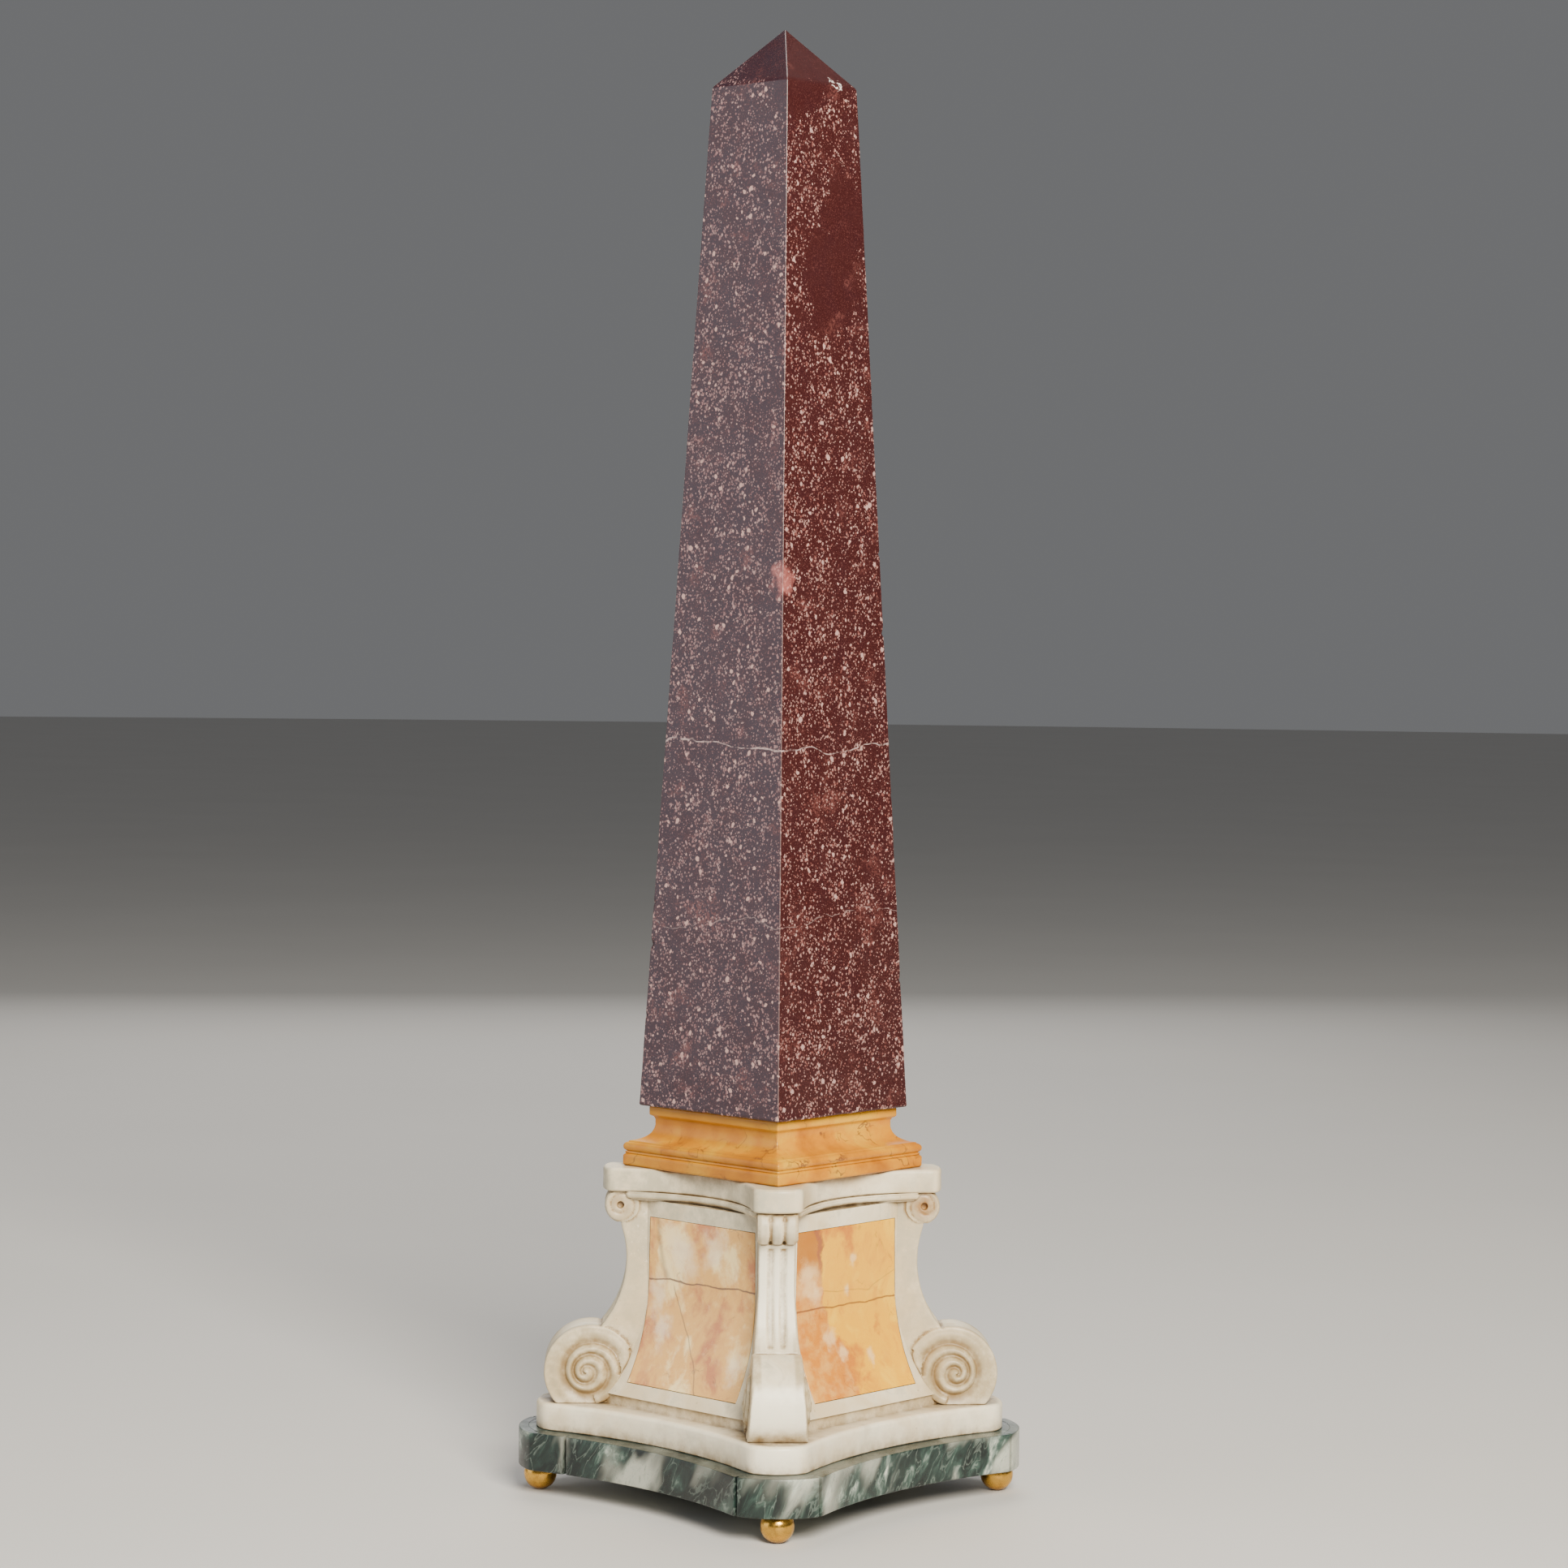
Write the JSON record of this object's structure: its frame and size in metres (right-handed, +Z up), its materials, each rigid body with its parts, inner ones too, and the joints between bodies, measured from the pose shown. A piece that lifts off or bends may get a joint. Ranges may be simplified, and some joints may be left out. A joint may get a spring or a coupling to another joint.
{
  "type": "table-top obelisk",
  "caption": "Tapering square obelisk of dark red stone on a moulded socle and a white marble pedestal with scroll consoles, inlaid panels, a green plinth and ball feet.",
  "frame": {"origin": "on the ground under the vertical axis, midway between the ball feet", "axes": "+Z up along the axis of the shaft; -Y is the front face of the pedestal and +X its right face"},
  "size_m": [0.169, 0.1691, 0.62],
  "materials": {
    "porphyry": "polished",
    "golden_marble": "polished",
    "white_marble": "polished",
    "peach_marble": "polished",
    "yellow_marble": "polished",
    "green_marble": "polished",
    "gilt_bronze": "polished"
  },
  "bodies": {
    "root": {"shaft": "porphyry", "socle_moulding": "golden_marble", "socle_band": "golden_marble", "cap_slab": "white_marble", "bed_moulding": "white_marble", "die_core": "white_marble", "console_front_right": "white_marble", "console_back_right": "white_marble", "console_back_left": "white_marble", "console_front_left": "white_marble", "panel_front": "peach_marble", "panel_right": "yellow_marble", "panel_back": "peach_marble", "panel_left": "yellow_marble", "base_slab": "white_marble", "plinth_core": "green_marble", "plinth_front": "green_marble", "plinth_right": "green_marble", "plinth_back": "green_marble", "plinth_left": "green_marble", "corner_front_right": "green_marble", "corner_back_right": "green_marble", "corner_back_left": "green_marble", "corner_front_left": "green_marble", "foot_front_right": "gilt_bronze", "foot_back_right": "gilt_bronze", "foot_back_left": "gilt_bronze", "foot_front_left": "gilt_bronze"}
  },
  "joints": []
}
